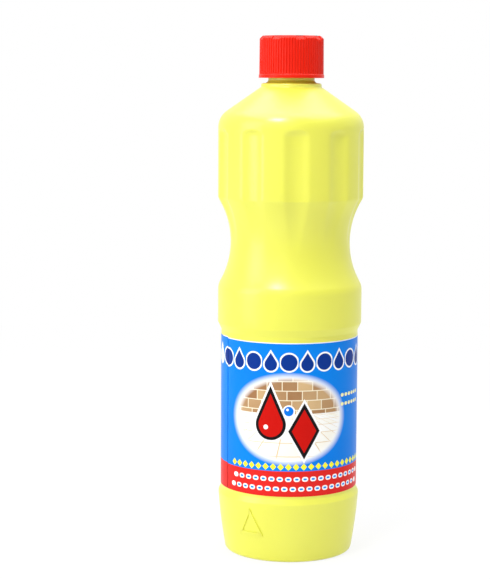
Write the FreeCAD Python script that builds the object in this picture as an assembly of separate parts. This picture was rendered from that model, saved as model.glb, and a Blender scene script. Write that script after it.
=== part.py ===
"""One-litre squeeze-waisted bleach bottle with a push-and-turn screw cap.

Units are millimetres. The bottle stands on z = 0 with its axis on Z, and the
front of the label faces -Y. Angles called azimuth are counted from -Y towards
+X, so the front is 0 and the right-hand side is +90.

The pieces, from the outside of the pack inwards:
    bottle      blown shell with flutes, waist, label panel and threaded neck
    label       wrap-around film with a lapped seam
    cap_shell   ribbed outer shell of the closure, pushed down to engage
    inner_cap   threaded inner shell of the closure
    cap_liner   sealing wad inside the inner cap
"""
import FreeCAD
import Part
import math
import os

Vector = FreeCAD.Vector
AXIS = Vector(0, 0, 1)
ORIGIN = Vector(0, 0, 0)

# Wall of the blown body
wall = 1.0

# Base, from the centre outwards
push_up = 4.2
push_up_bow = 1.4
ring_inner_r = 29.6
ring_step_width = 1.8
heel_r = 35.4
heel_rise = 1.9
heel_round = 2.5

# Base bulge below the label
base_r = 39.2
base_height = 32.3
base_bow = 0.42
base_rim_height = 0.9
base_rim_round = 2.0
label_step_height = 2.7

# Recessed panel that carries the label
panel_r = 37.85
panel_height = 88.6
panel_chamfer_height = 4.0

# Plain band above the label
lower_band_r = 39.8
lower_band_height = 20.7
lower_band_round = 9.0

# Waist for the hand
waist_r = 32.94
waist_arc_r = 45.0

# Fluted band
flute_band_r = 40.0
flute_band_height = 44.3
flute_count = 10
flute_first_azimuth = 4.5
flute_share = 0.5
flute_depth = 1.7
flute_top_round = 4.5
flute_top_gap = 5.4
flute_fade_drop = 22.5
flute_bend_overrun = 0.06

# Shoulder, and the collar at the neck's foot
shoulder_slope = 34.9
shoulder_round = 10.8
collar_r = 16.6
collar_height = 2.1
collar_round = 1.1
neck_foot_round = 2.0

# Neck finish
neck_r = 12.7
neck_height = 18.3
bore_r = 10.8
lip_round = 0.5
thread_pitch = 4.233
thread_turns = 1.5
thread_depth = 1.0
thread_base_width = 2.3
thread_flank = 30.0
thread_lip_gap = 1.2
thread_sink = 0.4

# Raised triangle on the base, an outline to be felt by hand
mark_side = 16.0
mark_line = 1.6
mark_height = 0.45
mark_azimuth = -33.0
mark_foot_z = 14.6

# Label film
label_height = 84.2
label_foot_gap = 1.6
label_thickness = 0.12
label_glue_gap = 0.03
label_seam_azimuth = -62.0
label_lap = 7.0
label_lap_shift = 0.5

# Fits of the closure
thread_clearance = 0.3
thread_bearing_shift = 0.35
lip_seat_gap = 0.1
liner_side_gap = 0.4
liner_top_gap = 0.05
shell_side_gap = 0.4
bead_gap = 0.15
lug_gap = 0.2

# Sizes of the closure
liner_thickness = 1.2
inner_plate = 1.2
inner_wall = 1.4
inner_rim_height = 4.6
inner_thread_turns = 1.25
inner_edge_round = 0.6
push_travel = 1.5
lug_count = 8
lug_height = 1.7
lug_width = 2.6
lug_inner_r = 8.2
lug_length = 5.0
shell_plate = 1.3
shell_wall = 1.25
shell_skirt_gap = 2.8
bead_reach = 0.75
bead_height = 1.0
rib_count = 72
rib_height = 0.45
groove_share = 0.5
flare_reach = 0.9
flare_height = 1.7
bevel_width = 1.6
bevel_height = 1.6
window_count = 8
window_first_azimuth = 16.0
window_angle = 16.5
window_depth = 0.75
top_dish_r = 13.4
top_dish_depth = 0.35

# How far a cutting shape runs past the solid that it cuts
overrun = 2.0

# Most that a laid chord may stray from its arc. A body turned from chords needs
# a small part of the facets that one turned from arcs does.
chord_gap = 0.3


def at(radius, height):
    """Point of a half section: distance from the axis, and height."""
    return Vector(radius, 0, height)


def spun(shape, azimuth):
    """Copy of a shape drawn towards +X, carried round to an azimuth."""
    turned = shape.copy()
    turned.rotate(ORIGIN, AXIS, azimuth - 90.0)
    return turned


def revolved(wire):
    """Solid of revolution of a closed half section."""
    return Part.Face(wire).revolve(ORIGIN, AXIS, 360)


def polygon(points):
    """Closed wire through points."""
    return Part.makePolygon(points + points[:1])


def chord_angle(radius):
    """Widest angle that one chord may span on an arc, in radians."""
    return 2 * math.acos(1 - min(chord_gap / radius, 1))


class Outline:
    """Half section drawn from point to point, away from its start."""

    def __init__(self, start):
        self.points = [start]

    def line(self, point):
        """Straight stretch to a point."""
        self.points.append(point)

    def arc(self, middle, point):
        """Round stretch through a middle point to an end point, laid as short chords."""
        arc = Part.Arc(self.points[-1], middle, point).toShape()
        count = math.ceil(arc.Length / (arc.Curve.Radius * chord_angle(arc.Curve.Radius)))
        self.points += arc.discretize(count + 1)[1:-1] + [point]

    def corner(self, point, onward, radius):
        """Straight stretch towards a corner, rounded before it runs onward."""
        back = (self.points[-1] - point).normalize()
        ahead = (onward - point).normalize()
        half = back.getAngle(ahead) / 2
        reach = radius / math.tan(half)
        inwards = (back + ahead).normalize()
        centre = point + inwards * (radius / math.sin(half))
        self.line(point + back * reach)
        self.arc(centre - inwards * radius, point + ahead * reach)

    def moved_in(self, inset):
        """The points of the same outline with every stretch moved to its left by inset."""
        steps = [(end - start).normalize() for start, end in zip(self.points, self.points[1:])]
        normals = [at(-step.z, step.x) for step in steps]
        moved = [self.points[0] + at(0, inset / normals[0].z)]
        for point, before, after in zip(self.points[1:], normals, normals[1:]):
            moved.append(point + (before + after) * (inset / (1 + before.dot(after))))
        return moved + [self.points[-1] + at(0, inset / normals[-1].z)]

    def solid(self):
        """Solid of revolution of the outline, closed straight back to its start."""
        return revolved(polygon(self.points))


# Heights of the body, worked out upwards from the floor
base_rim_z = base_height + base_rim_height
panel_foot_z = base_rim_z + label_step_height
panel_top_z = panel_foot_z + panel_height
lower_band_foot_z = panel_top_z + panel_chamfer_height
waist_corner_z = lower_band_foot_z + lower_band_height
waist_centre_r = waist_r + waist_arc_r


def waist_reach(band_r):
    """Height from the waist's middle to where its arc meets a band."""
    return math.sqrt(waist_arc_r ** 2 - (waist_centre_r - band_r) ** 2)


waist_centre = at(waist_centre_r, waist_corner_z + waist_reach(lower_band_r))
crease_z = waist_centre.z + waist_reach(flute_band_r)
shoulder_corner_z = crease_z + flute_band_height


def cone_height(radius):
    """Height of the shoulder's cone at a radius."""
    return shoulder_corner_z + (flute_band_r - radius) * math.tan(math.radians(shoulder_slope))


collar_foot_z = cone_height(collar_r)
collar_top_z = collar_foot_z + collar_height
lip_z = collar_top_z + neck_height
thread_r = neck_r + thread_depth
thread_top_z = lip_z - thread_lip_gap - thread_base_width / 2
thread_start_z = thread_top_z - thread_turns * thread_pitch

# Heights and radii of the closure, worked out from the neck
liner_foot_z = lip_z + lip_seat_gap
liner_top_z = liner_foot_z + liner_thickness
inner_plate_z = liner_top_z + liner_top_gap
inner_top_z = inner_plate_z + inner_plate
lug_room = max(2 * lug_height + lug_gap / 2, push_travel + lug_height + lug_gap)
shell_plate_z = inner_top_z + lug_room
cap_top_z = shell_plate_z + shell_plate
inner_foot_z = collar_top_z + inner_rim_height
shell_foot_z = collar_top_z + shell_skirt_gap
inner_bore_r = thread_r + thread_clearance
inner_r = inner_bore_r + inner_wall
shell_bore_r = inner_r + shell_side_gap
groove_r = shell_bore_r + shell_wall
rib_r = groove_r + rib_height
flare_r = groove_r + flare_reach
bevel_slope = bevel_height / bevel_width


def waist_blend(band_r, radius):
    """Three points of the arc that rounds the band below into the waist."""
    centre_r = band_r - radius
    rise = math.sqrt((waist_arc_r + radius) ** 2 - (waist_centre_r - centre_r) ** 2)
    centre = at(centre_r, waist_centre.z - rise)
    to_waist = (waist_centre - centre).normalize()
    between = (to_waist + at(1, 0)).normalize()
    return at(band_r, centre.z), centre + between * radius, centre + to_waist * radius


def draw_base(section):
    """Push-up, standing ring, heel and base bulge, up to the label panel."""
    step_r = ring_inner_r - ring_step_width
    step_z = push_up - push_up_bow
    dome_r = (step_r ** 2 + push_up_bow ** 2) / (2 * push_up_bow)
    dome_fall = dome_r - math.sqrt(dome_r ** 2 - (step_r / 2) ** 2)
    section.arc(at(step_r / 2, push_up - dome_fall), at(step_r, step_z))
    section.line(at(ring_inner_r, 0))
    ring_outer_r = heel_r - math.sqrt(heel_rise * (2 * heel_round - heel_rise))
    section.line(at(ring_outer_r, 0))
    centre = at(ring_outer_r, heel_round)
    heel_top = at(heel_r, heel_rise)
    outwards = (heel_top - centre - at(0, heel_round)).normalize()
    section.arc(centre + outwards * heel_round, heel_top)
    base_top = at(base_r, base_height)
    section.arc((heel_top + base_top) * 0.5 + at(base_bow, 0), base_top)
    panel_foot = at(panel_r, panel_foot_z)
    section.corner(at(base_r, base_rim_z), panel_foot, base_rim_round)
    section.line(panel_foot)


def body_solid(inset, cone_end_r):
    """Body turned on its axis up to a radius on the cone, with its surface moved in by inset."""
    section = Outline(at(0, push_up))
    draw_base(section)
    section.line(at(panel_r, panel_top_z))
    section.line(at(lower_band_r, lower_band_foot_z))
    on_band, middle, on_waist = waist_blend(lower_band_r, lower_band_round)
    section.line(on_band)
    section.arc(middle, on_waist)
    section.arc(at(waist_r, waist_centre.z), at(flute_band_r, crease_z))
    cone_end = at(cone_end_r, cone_height(cone_end_r))
    section.corner(at(flute_band_r, shoulder_corner_z), cone_end, shoulder_round)
    section.line(cone_end)
    points = section.moved_in(inset)
    return revolved(polygon(points + [at(0, points[-1].z)]))


def flute_cutters(inset):
    """Shapes that cut the flutes into a body whose surface is moved in by inset.

    Each flute is cut by an upright rod with a rounded end, which bends at the
    crease, follows the waist and rises out of it.
    """
    half_angle = math.radians(180.0 / flute_count * flute_share)
    half_chord = flute_band_r * math.sin(half_angle)
    sag = flute_depth - flute_band_r * (1 - math.cos(half_angle))
    rod_r = (half_chord ** 2 + sag ** 2) / (2 * sag)
    floor_r = flute_band_r - flute_depth
    rod_axis_r = floor_r + rod_r
    rod_top_z = shoulder_corner_z - flute_top_gap + inset
    joint_z = rod_top_z - flute_top_round - inset - overrun

    fade_z = crease_z - flute_fade_drop
    fade_rise = fade_z - waist_centre.z
    floor_reach = (at(floor_r, crease_z) - waist_centre).Length
    lift = (waist_arc_r ** 2 - floor_reach ** 2) / (2 * (fade_z - crease_z))
    centre = waist_centre + at(0, lift)
    floor_arc_r = (at(floor_r, crease_z) - centre).Length
    path_r = floor_arc_r - rod_r
    top_angle = math.asin((crease_z - centre.z) / floor_arc_r)
    low_angle = math.asin((fade_rise - lift) / floor_arc_r) - flute_bend_overrun
    count = math.ceil((top_angle - low_angle) / chord_angle(floor_arc_r))
    bend = []
    for index in range(1, count + 1):
        angle = top_angle - (top_angle - low_angle) * index / count
        bend.append(centre + at(-path_r * math.cos(angle), path_r * math.sin(angle)))
    slope = (bend[0] - bend[1]).normalize()
    knee = bend[0] + slope * ((rod_axis_r - bend[0].x) / slope.x)
    path = Part.makePolygon([at(rod_axis_r, joint_z), knee] + bend)
    circle = Part.Wire(Part.makeCircle(rod_r + inset, at(rod_axis_r, joint_z), AXIS))
    rod = path.makePipeShell([circle], True, False, 1)

    tip_section = Outline(at(0, joint_z))
    tip_section.line(at(rod_r + inset, joint_z))
    tip_section.corner(at(rod_r + inset, rod_top_z), at(0, rod_top_z), flute_top_round + inset)
    tip_section.line(at(0, rod_top_z))
    tip = tip_section.solid()
    tip.translate(at(rod_axis_r, 0))
    pitch = 360.0 / flute_count
    azimuths = [flute_first_azimuth + pitch * index for index in range(flute_count)]
    return [spun(cutter, azimuth) for azimuth in azimuths for cutter in (rod, tip)]


def triangle_mark():
    """Raised outline of a plain triangle, standing out of the base bulge."""
    height = mark_side * math.sqrt(3) / 2
    centre_z = mark_foot_z + height / 3
    prisms = []
    for reach in (height * 2 / 3, height * 2 / 3 - 2 * mark_line):
        corners = []
        for angle in (90, 210, 330):
            across = reach * math.cos(math.radians(angle))
            up = reach * math.sin(math.radians(angle))
            corners.append(Vector(heel_r - overrun, across, centre_z + up))
        prisms.append(Part.Face(polygon(corners)).extrude(at(base_r - heel_r + 2 * overrun, 0)))
    frame = prisms[0].cut(prisms[1])

    skin = body_solid(-mark_height, collar_r).cut(body_solid(wall / 2, collar_r))
    return spun(frame, mark_azimuth).common(skin)


def thread_ridge(root_r, crest_r, start_z, turns, start_azimuth):
    """Right-handed helical ridge with sloping flanks, sunk a little into its root."""
    outwards = math.copysign(1, crest_r - root_r)
    slope = math.tan(math.radians(thread_flank))
    foot_half = thread_base_width / 2 + thread_sink * slope
    crest_half = thread_base_width / 2 - abs(crest_r - root_r) * slope
    sunk_r = root_r - outwards * thread_sink
    profile = polygon([at(sunk_r, -foot_half), at(crest_r, -crest_half),
                       at(crest_r, crest_half), at(sunk_r, foot_half)])
    helix = Part.makeHelix(thread_pitch, thread_pitch * turns, root_r)
    ridge = Part.Wire(helix.Edges).makePipeShell([profile], True, True)
    ridge.translate(at(0, start_z))
    return spun(ridge, start_azimuth)


def neck_solid():
    """Collar, neck and lip, outside only."""
    section = Outline(at(0, collar_foot_z))
    section.line(at(collar_r, collar_foot_z))
    section.corner(at(collar_r, collar_top_z), at(neck_r, collar_top_z), collar_round)
    section.corner(at(neck_r, collar_top_z), at(neck_r, lip_z), neck_foot_round)
    section.corner(at(neck_r, lip_z), at(0, lip_z), lip_round)
    section.line(at(0, lip_z))
    return section.solid()


def bottle():
    """Blown bottle: hollow, fluted, waisted, with a threaded neck."""
    outside = body_solid(0, collar_r).cut(flute_cutters(0))
    outside = outside.fuse([neck_solid(), triangle_mark()])
    ridge = thread_ridge(neck_r, thread_r, thread_start_z, thread_turns, 0)
    inside = body_solid(wall, bore_r).cut(flute_cutters(wall))
    bore = Part.makeCylinder(bore_r, lip_z + overrun - shoulder_corner_z, at(0, shoulder_corner_z))
    return outside.fuse(ridge).cut([inside, bore]).removeSplitter()


def film(inner_r, start_azimuth, sweep, low_z, high_z):
    """Curved strip of label film that starts at an azimuth and runs on to the right."""
    section = polygon([at(inner_r, low_z), at(inner_r + label_thickness, low_z),
                       at(inner_r + label_thickness, high_z), at(inner_r, high_z)])
    strip = Part.Face(section).revolve(ORIGIN, AXIS, sweep)
    return spun(strip, start_azimuth)


def label():
    """Wrap-around label whose far end laps over its near end, a little out of line."""
    inner_r = panel_r + label_glue_gap
    low_z = panel_foot_z + label_foot_gap
    high_z = low_z + label_height
    lap_angle = math.degrees(label_lap / inner_r)
    under = film(inner_r, label_seam_azimuth, 360.0, low_z, high_z)
    lap = film(inner_r + label_thickness, label_seam_azimuth - lap_angle, lap_angle,
               low_z + label_lap_shift, high_z + label_lap_shift)
    return under.fuse(lap).removeSplitter()


def cap_liner():
    """Sealing wad, a plain disc as it is punched from a sheet."""
    return Part.makeCylinder(inner_bore_r - liner_side_gap, liner_thickness, at(0, liner_foot_z))


def lug(low_z, azimuth):
    """One drive lug of the closure: an upright block on a radius."""
    block = Part.makeBox(lug_length, lug_width, lug_height, Vector(lug_inner_r, -lug_width / 2, low_z))
    return spun(block, azimuth)


def inner_cap():
    """Threaded inner shell with upright drive lugs on its top."""
    section = Outline(at(0, inner_top_z))
    section.corner(at(inner_r, inner_top_z), at(inner_r, inner_foot_z), inner_edge_round)
    section.line(at(inner_r, inner_foot_z))
    section.line(at(inner_bore_r, inner_foot_z))
    section.line(at(inner_bore_r, inner_plate_z))
    section.line(at(0, inner_plate_z))
    shell = section.solid()
    ridge_z = thread_start_z - thread_pitch / 2 + thread_bearing_shift
    ridge = thread_ridge(inner_bore_r, neck_r + thread_clearance, ridge_z, inner_thread_turns, 0)
    pitch = 360.0 / lug_count
    lugs = [lug(inner_top_z, pitch * index) for index in range(lug_count)]
    return shell.fuse([ridge] + lugs).removeSplitter()


def ribbed_blank():
    """Upright prism of the cap's ribs and grooves, before its ends are shaped."""
    pitch = 2 * math.pi / rib_count
    half_groove = pitch * groove_share / 2
    points = []
    for index in range(rib_count):
        middle = index * pitch
        turns = [(rib_r, middle - half_groove), (groove_r, middle), (rib_r, middle + half_groove)]
        points += [Vector(r * math.cos(angle), r * math.sin(angle), shell_foot_z) for r, angle in turns]
    return Part.Face(polygon(points)).extrude(at(0, cap_top_z - shell_foot_z))


def bevel_window(azimuth):
    """Cutter for one flat on the top edge, where the bevel runs lower and deeper."""
    far_r = rib_r + overrun
    low_z = cap_top_z - bevel_height - window_depth - overrun * bevel_slope
    inner_r_top = rib_r - bevel_width - window_depth / bevel_slope
    corner = polygon([at(far_r, low_z), at(far_r, cap_top_z + overrun),
                      at(inner_r_top - overrun / bevel_slope, cap_top_z + overrun)])
    width = 2 * rib_r * math.sin(math.radians(window_angle / 2))
    wedge = Part.Face(corner).extrude(Vector(0, width, 0))
    wedge.translate(Vector(0, -width / 2, 0))
    return spun(wedge, azimuth)


def cap_shell():
    """Ribbed outer shell with a flared foot, a snap bead and hanging drive lugs."""
    section = Outline(at(0, cap_top_z - top_dish_depth))
    section.line(at(top_dish_r, cap_top_z - top_dish_depth))
    section.line(at(top_dish_r + top_dish_depth, cap_top_z))
    section.line(at(rib_r - bevel_width, cap_top_z))
    section.line(at(rib_r + overrun, cap_top_z - bevel_height - overrun * bevel_slope))
    section.line(at(rib_r + overrun, shell_foot_z))
    section.line(at(0, shell_foot_z))
    ribbed = ribbed_blank().common(section.solid())
    pitch = 360.0 / window_count
    ribbed = ribbed.cut([bevel_window(window_first_azimuth + pitch * index) for index in range(window_count)])

    flare_top_z = shell_foot_z + flare_height
    flare = Outline(at(shell_bore_r, shell_foot_z))
    flare.line(at(flare_r, shell_foot_z))
    flare.line(at(flare_r, flare_top_z))
    flare.line(at(groove_r, flare_top_z + flare_reach))
    flare.line(at(shell_bore_r, flare_top_z + flare_reach))
    body = ribbed.fuse(flare.solid())
    hollow = Part.makeCylinder(shell_bore_r, shell_plate_z - shell_foot_z + overrun, at(0, shell_foot_z - overrun))
    body = body.cut(hollow)

    bead_top_z = inner_foot_z - bead_gap
    bead = revolved(polygon([at(shell_bore_r + shell_wall / 2, bead_top_z), at(shell_bore_r - bead_reach, bead_top_z),
                             at(shell_bore_r - bead_reach, bead_top_z - bead_height / 3),
                             at(shell_bore_r + shell_wall / 2, bead_top_z - bead_height)]))
    pitch = 360.0 / lug_count
    lugs = [lug(shell_plate_z - lug_height, pitch * (index + 0.5)) for index in range(lug_count)]
    return body.fuse([bead] + lugs).removeSplitter()


def main():
    """Write each piece to its own file."""
    os.makedirs("parts", exist_ok=True)
    pieces = {
        "bottle": bottle,
        "label": label,
        "cap_shell": cap_shell,
        "inner_cap": inner_cap,
        "cap_liner": cap_liner,
    }
    for name, make in pieces.items():
        shape = make()
        shape.exportStep(f"parts/{name}.step")
        print(f"{name}: solids {len(shape.Solids)}, valid {shape.isValid()}, volume {shape.Volume:.0f} mm3")


main()
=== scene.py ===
"""Looks of a one-litre squeeze-waisted bleach bottle with a push-and-turn screw cap.

Lengths are metres. The bottle stands on z = 0 with its axis on Z, and the front of its
label faces -Y. Azimuths are degrees, counted from the front towards +X.
"""

import logging
import math
from dataclasses import dataclass, field
from enum import Enum

import bmesh
import bpy
from bmesh.types import BMesh, BMVert
from bpy.types import Material, NodeSocket, NodeTree, Object
from mathutils import Matrix, Vector

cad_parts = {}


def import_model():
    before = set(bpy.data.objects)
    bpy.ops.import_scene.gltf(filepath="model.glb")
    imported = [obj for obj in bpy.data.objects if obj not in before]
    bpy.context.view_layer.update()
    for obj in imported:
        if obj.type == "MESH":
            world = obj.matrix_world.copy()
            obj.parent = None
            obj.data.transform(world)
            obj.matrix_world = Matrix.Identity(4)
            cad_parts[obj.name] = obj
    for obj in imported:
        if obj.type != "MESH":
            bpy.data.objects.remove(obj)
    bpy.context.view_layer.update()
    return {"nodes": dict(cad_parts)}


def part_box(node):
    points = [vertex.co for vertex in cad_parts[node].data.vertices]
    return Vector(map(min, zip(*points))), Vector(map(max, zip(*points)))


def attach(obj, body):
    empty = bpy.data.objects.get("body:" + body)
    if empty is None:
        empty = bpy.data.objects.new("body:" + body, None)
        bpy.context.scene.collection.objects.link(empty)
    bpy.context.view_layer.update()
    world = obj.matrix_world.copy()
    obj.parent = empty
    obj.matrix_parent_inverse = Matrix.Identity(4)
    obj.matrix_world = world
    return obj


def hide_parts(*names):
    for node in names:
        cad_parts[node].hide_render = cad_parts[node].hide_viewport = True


MM = 0.001
AXIS = Vector((0, 0, 1))
ORIGIN = Vector((0, 0, 0))
WELD = 1e-6
SLIVER = 1e-7

# Sockets of a mix node that carry colours.
MIX_BELOW, MIX_ABOVE, MIX_RESULT = 6, 7, 2

log = logging.getLogger("bottle")

Colour = tuple[float, float, float, float]
Ink = Colour | NodeSocket
Value = "Term | float"


def srgb(red: float, green: float, blue: float) -> Colour:
    """Linear colour of a screen colour.

    Args:
        red: Red, 0 to 255.
        green: Green, 0 to 255.
        blue: Blue, 0 to 255.

    Returns:
        Red, green, blue and an alpha of 1, from 0 to 1.
    """
    shares = [value / 255 for value in (red, green, blue)]
    linear = [s / 12.92 if s <= 0.04045 else ((s + 0.055) / 1.055) ** 2.4 for s in shares]
    return (*linear, 1.0)


def at(radius: float, height: float) -> Vector:
    """Point of a half section: distance from the axis, and height."""
    return Vector((radius, 0, height))


def turn_to(azimuth: float) -> Matrix:
    """Turn that carries a shape drawn towards +X round to an azimuth in degrees."""
    return Matrix.Rotation(math.radians(azimuth - 90), 3, "Z")


def soft_least(first: float, second: float, reach: float) -> float:
    """Smaller of two lengths, with the step from one to the other rounded.

    Args:
        first: One length.
        second: The other length.
        reach: Difference below which the two run into each other.

    Returns:
        The rounded minimum.
    """
    nearness = max(reach - abs(first - second), 0) / reach
    return min(first, second) - nearness * nearness * reach / 4


def soft_most(first: float, second: float, reach: float) -> float:
    """Larger of two lengths, with the step from one to the other rounded."""
    return -soft_least(-first, -second, reach)


class Profile:
    """Half section of a turned piece, drawn from point to point with its inside on the left."""

    def __init__(self, radius: float, height: float) -> None:
        """Starts at a point."""
        self.points = [at(radius, height)]

    def line(self, radius: float, height: float, pieces: int = 1) -> None:
        """Straight stretch to a point.

        Args:
            radius: Distance of the point from the axis.
            height: Height of the point.
            pieces: How many equal edges the stretch becomes.
        """
        start = self.points[-1]
        end = at(radius, height)
        self.points += [start.lerp(end, (index + 1) / pieces) for index in range(pieces)]

    def arc(self, centre: Vector, end: Vector, step: float) -> None:
        """Round stretch, the shorter way about a centre.

        Args:
            centre: Centre of the arc.
            end: End point of the arc.
            step: Longest edge that the arc may be made of.
        """
        spoke = self.points[-1] - centre
        first = math.atan2(spoke.z, spoke.x)
        last = math.atan2(end.z - centre.z, end.x - centre.x)
        turn = math.remainder(last - first, math.tau)
        count = max(math.ceil(abs(turn) * spoke.length / step), 2)
        for index in range(1, count + 1):
            angle = first + turn * index / count
            self.points.append(centre + at(math.cos(angle), math.sin(angle)) * spoke.length)

    def bow(self, end: Vector, bulge: float, step: float) -> None:
        """Shallow arc to a point, which stands out to the right by bulge at its middle."""
        start = self.points[-1]
        half = (end - start).length / 2
        radius = (half * half + bulge * bulge) / (2 * bulge)
        along = (end - start).normalized()
        left = at(-along.z, along.x)
        self.arc((start + end) / 2 + left * (radius - bulge), end, step)

    def corner(self, point: Vector, onward: Vector, radius: float, step: float) -> None:
        """Straight stretch towards a corner, rounded before it runs onward.

        Args:
            point: The sharp corner.
            onward: A point that the outline runs to after it.
            radius: Radius of the rounding.
            step: Longest edge on the rounding.
        """
        back = (self.points[-1] - point).normalized()
        ahead = (onward - point).normalized()
        half = back.angle(ahead) / 2
        centre = point + (back + ahead).normalized() * (radius / math.sin(half))
        reach = radius / math.tan(half)
        touch = point + back * reach
        if (touch - self.points[-1]).length > WELD:
            self.points.append(touch)
        self.arc(centre, point + ahead * reach, step)

    def moved_in(self, inset: float) -> list[Vector]:
        """Points of the same outline with every stretch moved to its left."""
        steps = [(end - start).normalized() for start, end in zip(self.points, self.points[1:])]
        normals = [at(-step.z, step.x) for step in steps]
        moved = [self.points[0] + at(0, inset / normals[0].z)]
        for point, before, after in zip(self.points[1:], normals, normals[1:]):
            moved.append(point + (before + after) * (inset / (1 + before.dot(after))))
        return moved + [self.points[-1] + at(0, inset / normals[-1].z)]


def spin_part(skin: BMesh, points: list[Vector], steps: int, closed: bool = False,
              angle: float = 360.0, rise: float = 0.0) -> list[BMVert]:
    """Turns a line of points about the axis.

    Args:
        skin: Mesh that the turned skin goes into.
        points: The line, which starts towards +X.
        steps: How many steps the turn is made in.
        closed: Whether the line is a closed loop.
        angle: How far it turns, in degrees.
        rise: How far it climbs on the whole way.

    Returns:
        The new vertices, ring after ring.
    """
    known = len(skin.verts)
    verts = [skin.verts.new(point) for point in points]
    edges = [skin.edges.new(pair) for pair in zip(verts, verts[1:])]
    if closed:
        edges.append(skin.edges.new((verts[-1], verts[0])))
    bmesh.ops.spin(skin, geom=verts + edges, cent=ORIGIN, axis=AXIS, dvec=AXIS * rise / steps,
                   angle=math.radians(angle), steps=steps)
    skin.verts.ensure_lookup_table()
    return skin.verts[known:]


def spin_sector(points: list[Vector], steps: int, sectors: int) -> BMesh:
    """Turns a line of points through one of several like sectors.

    Args:
        points: The line, which starts towards +X.
        steps: How many steps a whole turn would be made in.
        sectors: How many like sectors make the whole turn.

    Returns:
        A mesh of its own with the sector, whose middle is towards +X.
    """
    sector = bmesh.new()
    verts = spin_part(sector, points, steps // sectors, angle=360 / sectors)
    half_back = Matrix.Rotation(-math.pi / sectors, 3, "Z")
    bmesh.ops.rotate(sector, verts=verts, cent=ORIGIN, matrix=half_back)
    return sector


def add_part(skin: BMesh, part: BMesh) -> None:
    """Adds a part to a skin. The part is used up."""
    mesh = bpy.data.meshes.new("part")
    part.to_mesh(mesh)
    part.free()
    skin.from_mesh(mesh)
    bpy.data.meshes.remove(mesh)


def lay_round(skin: BMesh, sector: BMesh, sectors: int, azimuth: float) -> None:
    """Lays a sector side by side all round the axis.

    Args:
        skin: Mesh that the whole goes into.
        sector: The sector with its middle towards +X, which is used up.
        sectors: How many of it make the whole.
        azimuth: Where the first one's middle goes, in degrees.
    """
    mesh = bpy.data.meshes.new("sector")
    sector.to_mesh(mesh)
    sector.free()
    mesh.transform(turn_to(azimuth).to_4x4())
    onward = Matrix.Rotation(math.tau / sectors, 4, "Z")
    for _ in range(sectors):
        skin.from_mesh(mesh)
        mesh.transform(onward)
    bpy.data.meshes.remove(mesh)
    bmesh.ops.remove_doubles(skin, verts=skin.verts, dist=WELD)


def cap_ends(skin: BMesh) -> None:
    """Closes each open loop of a skin with one face."""
    rim = [edge for edge in skin.edges if edge.is_boundary]
    bmesh.ops.holes_fill(skin, edges=rim, sides=0)


def add_box(skin: BMesh, low: Vector, high: Vector, azimuth: float, softness: float) -> None:
    """Block with softened edges, drawn towards +X and carried round to an azimuth.

    Args:
        skin: Mesh that it goes into.
        low: Its lowest corner.
        high: Its highest corner.
        azimuth: Where it goes, in degrees.
        softness: Width of its bevels.
    """
    size = high - low
    verts = bmesh.ops.create_cube(skin, size=1, matrix=Matrix.Diagonal((*size, 1)))["verts"]
    bmesh.ops.translate(skin, verts=verts, vec=(low + high) / 2)
    bmesh.ops.rotate(skin, verts=verts, cent=ORIGIN, matrix=turn_to(azimuth))
    edges = list({edge for vert in verts for edge in vert.link_edges})
    bmesh.ops.bevel(skin, geom=edges, offset=softness, segments=2, profile=0.5, affect="EDGES",
                    material=-1)


def finished(skin: BMesh, name: str, material: Material, crease: float = 40.0) -> Object:
    """Object made of a skin.

    Args:
        skin: The finished mesh, which is used up.
        name: The piece's name.
        material: Its finish.
        crease: Angle in degrees from which an edge stays sharp.

    Returns:
        The new object, at the origin.
    """
    bmesh.ops.remove_doubles(skin, verts=skin.verts, dist=WELD)
    bmesh.ops.dissolve_degenerate(skin, edges=skin.edges, dist=SLIVER)
    bmesh.ops.recalc_face_normals(skin, faces=skin.faces)
    mesh = bpy.data.meshes.new(name)
    skin.to_mesh(mesh)
    skin.free()
    mesh.materials.append(material)
    mesh.shade_smooth()
    mesh.set_sharp_from_angle(angle=math.radians(crease))
    piece = bpy.data.objects.new(name, mesh)
    bpy.context.scene.collection.objects.link(piece)
    return piece


class Term:
    """Value in a material's nodes that sums can be written with."""

    def __init__(self, tree: NodeTree, socket: NodeSocket) -> None:
        """Holds an output socket of a tree."""
        self.tree = tree
        self.socket = socket

    def run(self, operation: str, *others: Value) -> "Term":
        """Result of a math node.

        Args:
            operation: The node's operation.
            others: Its further values.

        Returns:
            The node's value.
        """
        node = self.tree.nodes.new("ShaderNodeMath")
        node.operation = operation
        for entry, value in zip(node.inputs, (self, *others)):
            if isinstance(value, Term):
                self.tree.links.new(value.socket, entry)
            else:
                entry.default_value = value
        return Term(self.tree, node.outputs[0])

    def __add__(self, other: Value) -> "Term":
        """Sum."""
        return self.run("ADD", other)

    def __sub__(self, other: Value) -> "Term":
        """Difference."""
        return self.run("SUBTRACT", other)

    def __mul__(self, other: Value) -> "Term":
        """Product."""
        return self.run("MULTIPLY", other)

    def __truediv__(self, other: Value) -> "Term":
        """Quotient."""
        return self.run("DIVIDE", other)

    def __abs__(self) -> "Term":
        """Size without sign."""
        return self.run("ABSOLUTE")

    def most(self, other: Value) -> "Term":
        """Larger of two values."""
        return self.run("MAXIMUM", other)

    def least(self, other: Value) -> "Term":
        """Smaller of two values."""
        return self.run("MINIMUM", other)

    def inside(self, softness: float) -> "Term":
        """Mask that is 1 where a distance is below zero, with a soft edge."""
        node = self.tree.nodes.new("ShaderNodeMapRange")
        self.tree.links.new(self.socket, node.inputs["Value"])
        node.inputs["From Min"].default_value = softness / 2
        node.inputs["From Max"].default_value = -softness / 2
        return Term(self.tree, node.outputs["Result"])


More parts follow.
